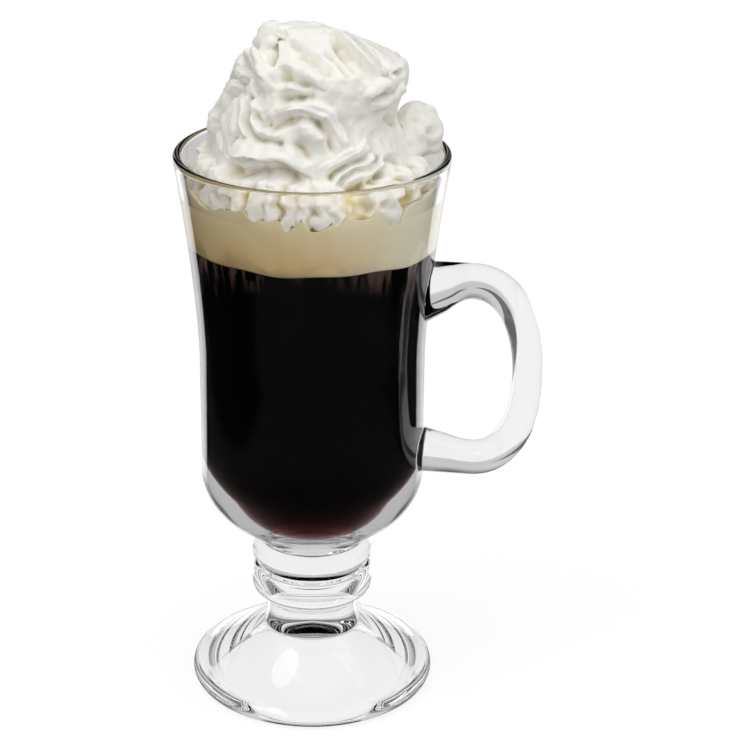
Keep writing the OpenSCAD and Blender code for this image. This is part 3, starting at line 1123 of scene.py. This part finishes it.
strokes = [
    # shape, height, half width, then places as (angle, height above the rim)
    # the slab on top and the folds that run down from it
    (fold, 2.4, 5.0, [(-8, 32.5), (-32, 30.5), (-47, 28), (-53, 25), (-46, 21)]),
    (crease, 2.8, 2.4, [(-47, 31), (-57, 28), (-61, 25), (-51, 21)]),
    (crease, 1.4, 1.2, [(-79, 29), (-75, 26), (-72, 23)]),
    (crease, 2.0, 2.4, [(-116, 29), (-104, 27.5), (-93, 25.5), (-86, 23)]),
    (fold, 2.2, 4.0, [(-135, 24.5), (-123, 25), (-111, 24), (-102, 23), (-93, 21), (-85, 21)]),
    (crease, 3.6, 2.6, [(-131, 23.5), (-119, 23.5), (-110, 23), (-101, 21.5), (-92, 20)]),
    (rib, 1.6, 1.4, [(-120, 22), (-111, 21), (-95, 20)]),
    (crease, 3.4, 2.0, [(-124, 19), (-111, 19), (-91, 19)]),
    # the knob at the top left
    (crease, 2.2, 1.4, [(-165, 32.3), (-140, 32), (-116, 31)]),
    (crease, 2.0, 1.2, [(-181, 29), (-146, 30), (-127, 30)]),
    (crease, 3.2, 1.4, [(-160, 29.5), (-143, 27), (-135, 24.5)]),
    (crease, 1.6, 1.6, [(-126, 30), (-100, 29)]),
    # ribs down the left
    (rib, 2.2, 1.8, [(-175, 25), (-148, 24), (-134, 21.5), (-126, 19)]),
    (crease, 3.6, 1.5, [(-184, 24), (-158, 23), (-145, 21), (-136, 18)]),
    (rib, 1.8, 1.8, [(-162, 26.5), (-138, 24), (-126, 22)]),
    (crease, 3.0, 1.4, [(-184, 20.5), (-162, 19), (-150, 16)]),
    (crease, 3.4, 1.3, [(-165, 17), (-147, 13), (-140, 11), (-133, 7.5)]),
    (rib, 1.5, 1.5, [(-154, 17), (-142, 14), (-135, 11), (-127, 8.5)]),
    (crease, 3.2, 1.3, [(-148, 18), (-137, 14.5), (-131, 11), (-125, 9), (-117, 8.5), (-103, 8.5)]),
    (rib, 1.6, 1.5, [(-141, 17.5), (-131, 14), (-124, 11), (-117, 10), (-106, 10)]),
    (crease, 2.8, 1.3, [(-133, 15.5), (-127, 13), (-121, 11.5), (-117, 13.5)]),
    (crease, 2.0, 1.5, [(-179, 8), (-163, 6.5), (-152, 4.5)]),
    (crease, 3.2, 1.2, [(-138, 9.5), (-140, 7), (-144, 4)]),
    # the curl in the middle
    (fluted, 2.0, 2.6,
     [(-119, 10.5), (-114, 14), (-104, 16), (-94, 16), (-83, 15), (-75, 12), (-69, 9), (-70, 5)]),
    (crease, 3.6, 2.2,
     [(-117, 8.5), (-114, 11), (-109, 13), (-100, 14), (-91, 14), (-83, 12.5), (-76, 10), (-74, 6)]),
    (rib, 2.6, 2.6, [(-102, 11.5), (-95, 12.5), (-88, 11), (-81, 9.5), (-79, 6.5)]),
    (crease, 2.8, 2.4, [(-102, 8), (-96, 8), (-91, 6.5), (-88, 3.5)]),
    # the lip in front
    (fold, 3.2, 4.8, [(-150, 4), (-134, 3.5), (-123, 4), (-112, 4), (-103, 3.5), (-95, 2), (-88, 0.5)]),
    (crease, 3.6, 2.8, [(-150, 0), (-134, 0), (-123, 1), (-114, 2), (-105, 2), (-94, 0)]),
    (crease, 1.3, 2.2, [(-123, 7), (-112, 7), (-101, 7)]),
    # ribs at the lower right
    (fluted, 1.6, 1.8, [(-85, 1.5), (-75, 4), (-65, 5), (-49, 7)]),
    (crease, 2.6, 1.5, [(-83, -0.5), (-75, 2), (-67, 3), (-55, 4)]),
    (rib, 1.8, 1.5, [(-80, -1.5), (-71, 1), (-61, 2), (-48, 4.5)]),
    (crease, 3.0, 1.4, [(-80, -2.5), (-72, 0), (-64, 1), (-56, 2), (-44, 4.5)]),
    (rib, 1.8, 1.5, [(-75, -2), (-65, -0.5), (-55, 1), (-41, 3.5)]),
    (crease, 4.4, 2.0, [(-76, -3.5), (-67, -2), (-58, -1), (-45, 1)]),
    (crease, 2.4, 1.8, [(-48, 2.5), (-38, 2.5), (-27, 0.5)]),
    # the rough right side
    (crease, 2.0, 1.2, [(-31, 26.5), (-34, 24), (-27, 22.5)]),
    (crease, 2.0, 1.2, [(-48, 23), (-37, 22), (-13, 22)]),
    (rib, 1.6, 1.6, [(-60, 17.5), (-49, 20), (-30, 20.5)]),
    (crease, 2.2, 1.3, [(-55, 17), (-50, 18), (-38, 19)]),
    (rib, 1.6, 1.6, [(-52, 15.5), (-37, 17), (-13, 18)]),
    (crease, 2.4, 1.5, [(-44, 14), (-28, 15), (-6, 16)]),
    (crease, 2.0, 1.5, [(-36, 11), (-25, 10.5), (-10, 8)]),
    # the seat of the dollop
    (dent, 2.0, 6.6, [(9, -12), (9, 2), (9, 14)]),
]
for start in range(back_first, back_last, back_step):
    back_rib = [(start, -4), (start + 12, 4), (start + 18, 12), (start + 30, 20), (start + 46, 28)]
    back_crease = [(start + 11, -2), (start + 23, 5), (start + 30, 13), (start + 43, 22)]
    strokes.append((fluted, 2.0, 2.8, back_rib))
    strokes.append((crease, 2.0, 1.3, back_crease))
print("Strokes:", len(strokes))

# %% Lines on the heap
span_steps = 12


def curve_through(points):
    """A smooth curve through points."""
    ends = np.vstack([2 * points[0] - points[1], points, 2 * points[-1] - points[-2]])
    t = np.linspace(0, 1, span_steps, endpoint=False)[:, None]
    pieces = []
    for a, b, c, d in zip(ends, ends[1:], ends[2:], ends[3:]):
        bend = 2 * a - 5 * b + 4 * c - d
        twist = 3 * b - a - 3 * c + d
        pieces.append(b + 0.5 * ((c - a) * t + bend * t ** 2 + twist * t ** 3))
    return np.vstack(pieces + [points[-1:]])


def stroke_line(places):
    """A smooth line on the heap through the places of a stroke."""
    points = np.array(places, float)
    points[:, 0] = np.degrees(np.unwrap(np.radians(points[:, 0])))
    dense = curve_through(points)
    return heap_at(dense[:, 0], dense[:, 1])


def beside(place, normal, line, reach):
    """The places near a line: their numbers, offsets (left positive) and runs from its ends."""
    boxed = (place > line.min(axis=0) - reach) & (place < line.max(axis=0) + reach)
    near = np.flatnonzero(np.all(boxed, axis=1))
    best = np.full(len(near), np.inf)
    offset = np.zeros(len(near))
    run_at = np.zeros(len(near))
    run = run_of(line)
    for n, (start, end) in enumerate(zip(line, line[1:])):
        ahead = end - start
        length = np.linalg.norm(ahead)
        share = np.clip((place[near] - start) @ ahead / length ** 2, 0, 1)
        away = place[near] - start - share[:, None] * ahead
        distance = np.linalg.norm(away, axis=1)
        side = np.where(np.einsum("ij,ij->i", np.cross(ahead, away), normal[near]) < 0, -1, 1)
        closer = distance < best
        best[closer] = distance[closer]
        offset[closer] = (distance * side)[closer]
        run_at[closer] = run[n] + (share * length)[closer]
    return near, offset, np.minimum(run_at, run[-1] - run_at)


print("The first stroke is", round(run_of(stroke_line(strokes[0][-1]))[-1]), "mm long")

# %% Press the strokes into the heap
stroke_reach = 1.5
slow_wander = 0.9
slow_wander_size = 6.0
quick_wander = 0.35
quick_wander_size = 2.2
quick_wander_shift = 50
swell_out = 0.8
swell_size = 8.0
tear_out = 0.4
tear_in = 0.55
tear_size = 4.5
# Roughness, lacunarity, octaves, offset and gain of the ridged noise
tear_shape = (1.0, 2.0, 3, 1.0, 2.0)
# noise_vector is shifted by Blender's own seed, so a fixed one gives the same heap each run
wander_seed = 1
noise.seed_set(wander_seed)


def hills(place, size):
    """Soft hills and hollows of a size, about -1 to 1."""
    return np.array([noise.noise(Vector(p / size)) for p in place])


def wander(place, much, size):
    """A slow shift in all directions, so that no edge runs straight."""
    return much * np.array([noise.noise_vector(Vector(p / size)) for p in place])


def tears(place):
    """The small ridges of cream that tore as it was set down."""
    return np.array([noise.ridged_multi_fractal(Vector(p / tear_size), *tear_shape) for p in place])


def smooth_step(value):
    """0 below 0, 1 above 1, and soft between."""
    value = np.clip(value, 0, 1)
    return value * value * (3 - 2 * value)


def relief(place, normal):
    """How far the cream stands out from the outline at each place, in millimetres."""
    shifted = place + wander(place, slow_wander, slow_wander_size)
    shifted += wander(place + quick_wander_shift, quick_wander, quick_wander_size)
    out = swell_out * hills(place, swell_size)
    out += tear_out * tears(shifted) - tear_in
    for shape, height, width, places in strokes:
        reach = stroke_reach * width
        near, offset, from_end = beside(shifted, normal, stroke_line(places), reach)
        out[near] += height * shape(offset / width) * smooth_step(from_end / reach)
    return out


# %% Lumps that lean on the glass
lump_rough_size = 2.6
lump_rough = 0.75
lump_wander = 5
lump_out = 2.8
lump_wide = 1.4
gap_wide = 1.6
lump_power = 0.6
collar_out = 2.6
# heights above the rim where each is gone, and where it is full
collar_foot = (-6.5, -5)
collar_top = (-1, -3)
lump_top = (1, -2)
rough_top = (2, -2)


def between(height, none, full):
    """0 at one height, 1 at another, and soft between."""
    return smooth_step((height - none) / (full - none))


def lump_relief(angle, height, place):
    """How far lumps and their collar stand out below the rim, in millimetres."""
    rough = hills(place.reshape(-1, 3), lump_rough_size).reshape(height.shape)
    angle = angle + lump_wander * rough
    out = collar_out * between(height, *collar_foot) * between(height, *collar_top)
    for gap_angle, _, wide in cream_gaps:
        out *= 1 - lump_share(angle, gap_angle, gap_wide * wide, lump_power)
    for lump_angle, _, wide in cream_lumps:
        lump = lump_share(angle, lump_angle, lump_wide * wide, lump_power)
        out = np.maximum(out, lump_out * lump * between(height, *lump_top))
    return out + lump_rough * rough * between(height, *rough_top)


# %% Rings of the heap
heap_columns = 560
heap_levels = 260


def heap_rings():
    """Rings of the heap from its foot in the glass up to its top."""
    angle = np.linspace(-180, 180, heap_columns, endpoint=False)
    share = np.sin(np.linspace(0, pi / 2, heap_levels))[:, None]
    height = heap_rows[0, 0] + share * (heap_rows[-1, 0] - heap_rows[0, 0]) + 0 * angle
    angle = np.broadcast_to(angle, height.shape)
    place = heap_at(angle, height)
    normal = np.cross(np.roll(place, -1, axis=1) - np.roll(place, 1, axis=1), np.gradient(place, axis=0))
    normal /= np.linalg.norm(normal, axis=2)[..., None]
    out = relief(place.reshape(-1, 3), normal.reshape(-1, 3)).reshape(height.shape)
    out += lump_relief(angle, height, place)
    return list(place + normal * out[..., None])


heap_stack = heap_rings()
print("The heap has", len(heap_stack), "rings of", heap_columns, "points")

# %% [markdown]
# ## The dollop and the knob
# The dollop at the side and the knob at the top left are short squeezes that kept their shape.
# Pressed into the heap they would only be bumps, because a skin that is pushed outward can't
# overhang. So each squeeze is a short ridged rope with round ends, and ropes that touch melt into
# one skin later.

# %% Ropes of cream
rope_step = 0.6
rope_least = 8
rope_sides = 48
rope_rough_size = 2.2
rope_ridges = 3
rope_tip = 0.01
rope_lean = (0.3, 0.2, 0.93)


def rope(groove, twist, rough, *points):
    """A rope of cream with round ends along points of (right, away, up, radius), in millimetres."""
    line = curve_through(np.array(points, float))
    run = run_of(line[:, :3])
    count = max(rope_least, round(run[-1] / rope_step))
    line = along(line, np.linspace(0, run[-1], count), run)
    run = run_of(line[:, :3])
    around = 2 * pi * np.arange(rope_sides) / rope_sides
    ahead = np.gradient(line[:, :3], axis=0)
    ahead /= np.linalg.norm(ahead, axis=1)[:, None]
    left = np.cross(ahead[0], rope_lean)
    rings = []
    for n, (centre, forward) in enumerate(zip(line[:, :3], ahead)):
        left = left - forward * (left @ forward)
        left /= np.linalg.norm(left)
        up = np.cross(forward, left)
        radius = line[n, 3]
        from_end = min(run[n], run[-1] - run[n], radius) / radius
        radius = radius * sqrt(max(rope_tip, 1 - (1 - from_end) ** 2))
        shape = 1 - groove * (1 - np.abs(np.sin(rope_ridges * around / 2 + twist * run[n])))
        spokes = np.cos(around)[:, None] * left + np.sin(around)[:, None] * up
        shape += rough * hills(centre + radius * spokes, rope_rough_size)
        rings.append(centre + radius * shape[:, None] * spokes)
    return rings


# Depth of the grooves, twist in a millimetre and roughness of each kind of rope
dollop_core = (0.1, 0.12, 0.2)
dollop_side = (0.12, 0.2, 0.2)
knob_core = (0.1, 0.2, 0.15)
knob_side = (0.2, 0.2, 0.3)
dollop_ropes = [
    rope(*dollop_core, (25, 3.5, 147.5, 5), (26.2, 3, 153, 6), (26, 3, 157.5, 5.6), (25.4, 3, 162, 4)),
    rope(*dollop_side, (29.4, 2.5, 148.5, 3), (30.2, 1.5, 153.5, 3.2), (29.2, 1.5, 158, 2.8),
         (26.5, 1.5, 161, 2.4)),
    rope(*dollop_side, (22.5, -2, 148, 3.8), (25, -2.2, 153, 3.8), (25, -1.4, 158, 3.2)),
]
knob_ropes = [
    rope(*knob_core, (-11, -1, 174, 2.6), (-10.6, -1.8, 177, 2.9), (-9.6, -2.8, 180.2, 2.6)),
    rope(*knob_side, (-13.2, -0.6, 176.3, 1.9), (-12.4, -2.3, 179.4, 1.9), (-10.6, -3.2, 181.3, 1.8),
         (-8, -3.6, 181.8, 1.5)),
    rope(*knob_side, (-12.4, -2.8, 175.4, 1.7), (-11, -4.3, 178.2, 1.7), (-8.6, -5, 179.8, 1.6)),
    rope(*knob_side, (-12.6, 1, 178.2, 1.9), (-10.8, 0, 181.4, 1.9), (-8, -1, 182.2, 1.6)),
]
print("Ropes:", len(dollop_ropes), "in the dollop and", len(knob_ropes), "in the knob")

# %% Melt
voxel = 0.32 * mm
soften_share = 0.5
soften_times = 1


def melted(name, stacks):
    """One skin over all the ring stacks of a piece, turned from the camera's axes to the model's."""
    points = []
    faces = []
    for rings in stacks:
        more, more_faces = closed_stack(rings)
        faces += [[index + len(points) for index in face] for face in more_faces]
        points += more
    placed = np.column_stack(in_view(*np.array(points).T)) * mm
    mesh = bpy.data.meshes.new(name + "_raw")
    mesh.from_pydata([tuple(p) for p in placed], [], faces)
    raw = bpy.data.objects.new(name + "_raw", mesh)
    scene.collection.objects.link(raw)
    remesh = raw.modifiers.new("melt", "REMESH")
    remesh.mode = "VOXEL"
    remesh.voxel_size = voxel
    smooth = raw.modifiers.new("soften", "SMOOTH")
    smooth.factor = soften_share
    smooth.iterations = soften_times
    melted_mesh = bpy.data.meshes.new_from_object(raw.evaluated_get(bpy.context.evaluated_depsgraph_get()))
    found = np.empty(len(melted_mesh.vertices) * 3)
    melted_mesh.vertices.foreach_get("co", found)
    skin = [tuple(face.vertices) for face in melted_mesh.polygons]
    bpy.data.objects.remove(raw)
    bpy.data.meshes.remove(mesh)
    bpy.data.meshes.remove(melted_mesh)
    return found.reshape(-1, 3), skin


# %% [markdown]
# ## Cream as a material
# Whipped cream is white foam: light goes in, scatters and comes out softened, and the butterfat
# gives its deep folds a warm tint. Subsurface scattering does the first. For the second, each
# vertex keeps how deep it lies below its smoothed neighbourhood, and the colour follows that. The
# same colour also darkens the deep folds, a painted shade on top of the warm tint.

# %% Cream material
patch_scale = 160
foam_scale = 700
foam_detail = 5
foam_strength = 0.6
foam_h = 0.3 * mm
# painted shade: the colour turns grey with the depth of the fold, and warm with the butterfat
fold_shade_and_fat_tones = [
    # depth of the fold, colour
    (0.0, (0.95, 0.93, 0.875, 1)),
    (0.6, (0.74, 0.7, 0.6, 1)),
    (1.0, (0.62, 0.54, 0.3, 1)),
]
soaked_tint = (0.6, 0.45, 0.12, 1)
# where a soft step over the patches starts and ends, and its two levels
shade_and_warmth_step = (0.4, 0.7, 0.55, 1)
soaked_step = (0.3, 0.6, 0.3, 1)

cream_look, tree = new_look("whipped_cream")
body = tree.nodes["Principled BSDF"]
place = tree.nodes.new("ShaderNodeTexCoord").outputs["Object"]
patches = cloudy(tree, place, patch_scale)
shade_and_warmth_patches = fade(tree, patches, *shade_and_warmth_step)
# painted shade in the folds, with the butterfat's warm tint, broken up by patches
fold_shade_and_warmth = calc(tree, "MULTIPLY", kept_number(tree, "depth_of_fold"), shade_and_warmth_patches)
soaked_patches = fade(tree, patches, *soaked_step)
soaked = calc(tree, "MULTIPLY", kept_number(tree, "soaked"), soaked_patches)
colour = tinted(tree, soaked, ramped(tree, fold_shade_and_warmth, fold_shade_and_fat_tones), soaked_tint)
tree.links.new(colour, body.inputs["Base Color"])
uneven(tree, body, cloudy(tree, place, foam_scale, foam_detail), foam_strength, foam_h)
set_sockets(body, {
    "Roughness": 0.5,
    "Specular IOR Level": 0.3,
    "Subsurface Weight": 0.2,
    "Subsurface Radius": (1, 0.85, 0.6),
    "Subsurface Scale": 0.5 * mm,
})
print("Cream:", len(tree.nodes), "nodes")

# %% Depth of the folds
fold_passes = 60
deep_fold = 0.9 * mm


def neighbour_mean(values, pairs, count):
    """Mean of each vertex's neighbours."""
    here = pairs.ravel()
    there = pairs[:, ::-1].ravel()
    sums = [np.bincount(here, column[there], len(values)) for column in values.T]
    return np.column_stack(sums) / count[:, None]


def fold_depth(mesh):
    """How far each vertex lies below its widely smoothed neighbourhood, 0 to 1."""
    n = len(mesh.vertices)
    place = np.empty(n * 3)
    normal = np.empty(n * 3)
    mesh.vertices.foreach_get("co", place)
    mesh.vertex_normals.foreach_get("vector", normal)
    place = place.reshape(-1, 3)
    normal = normal.reshape(-1, 3)
    pairs = np.empty(len(mesh.edges) * 2, dtype=np.int32)
    mesh.edges.foreach_get("vertices", pairs)
    pairs = pairs.reshape(-1, 2)
    count = np.bincount(pairs.ravel(), minlength=n).clip(1)
    smooth = place.copy()
    for _ in range(fold_passes):
        smooth = neighbour_mean(smooth, pairs, count)
    below = np.einsum("ij,ij->i", smooth - place, normal)
    return np.clip(below / deep_fold, 0, 1)


# %% Build the cream
wall_clear = 0.15 * mm
wall_give = 0.15 * mm
soak_top_z = mug_h - 1 * mm
soak_h = 4 * mm
soak_start = 1.5 * mm
soak_w = 3 * mm


def cream_piece(name, nodes, stacks):
    """Melts a piece of cream, keeps it inside the glass and above the float, and dresses it."""
    skin, faces = melted(name, stacks)
    room = inner_r(np.clip(skin[:, 2], None, lip_z), wall_clear)
    out = np.maximum(np.hypot(skin[:, 0], skin[:, 1]), mm)
    rounded = room - wall_give * np.logaddexp(0, (room - out) / wall_give)
    pull = np.where(skin[:, 2] < mug_h, np.minimum(1, rounded / out), 1)
    skin[:, :2] *= pull[:, None]
    out = out * pull
    floor_z = float_edge_z(np.arctan2(skin[:, 1], skin[:, 0]), np.clip(out / room, 0, 1)) + layer_gap
    skin[:, 2] = np.maximum(skin[:, 2], floor_z)
    piece = make_piece(name, skin, faces, [cream_look])
    # the depth of each fold drives the painted shade in the cream's colour
    mark(piece, "depth_of_fold", fold_depth(piece.data))
    below_rim = np.clip((soak_top_z - skin[:, 2]) / soak_h, 0, 1)
    off_glass = np.clip((room - out - soak_start) / soak_w, 0, 1)
    mark(piece, "soaked", below_rim * off_glass)
    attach(piece, "root")
    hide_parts(*nodes)


heap_nodes = ("cream_base_layer", "cream_middle_layer", "cream_crest")
cream_piece("whipped_cream_heap", heap_nodes, [heap_stack] + knob_ropes)
cream_piece("whipped_cream_dollop", ("cream_dollop",), dollop_ropes)

# %% [markdown]
# ## Sizes
# Looks mustn't change what the object measures.

# %% Finish
bpy.context.view_layer.update()
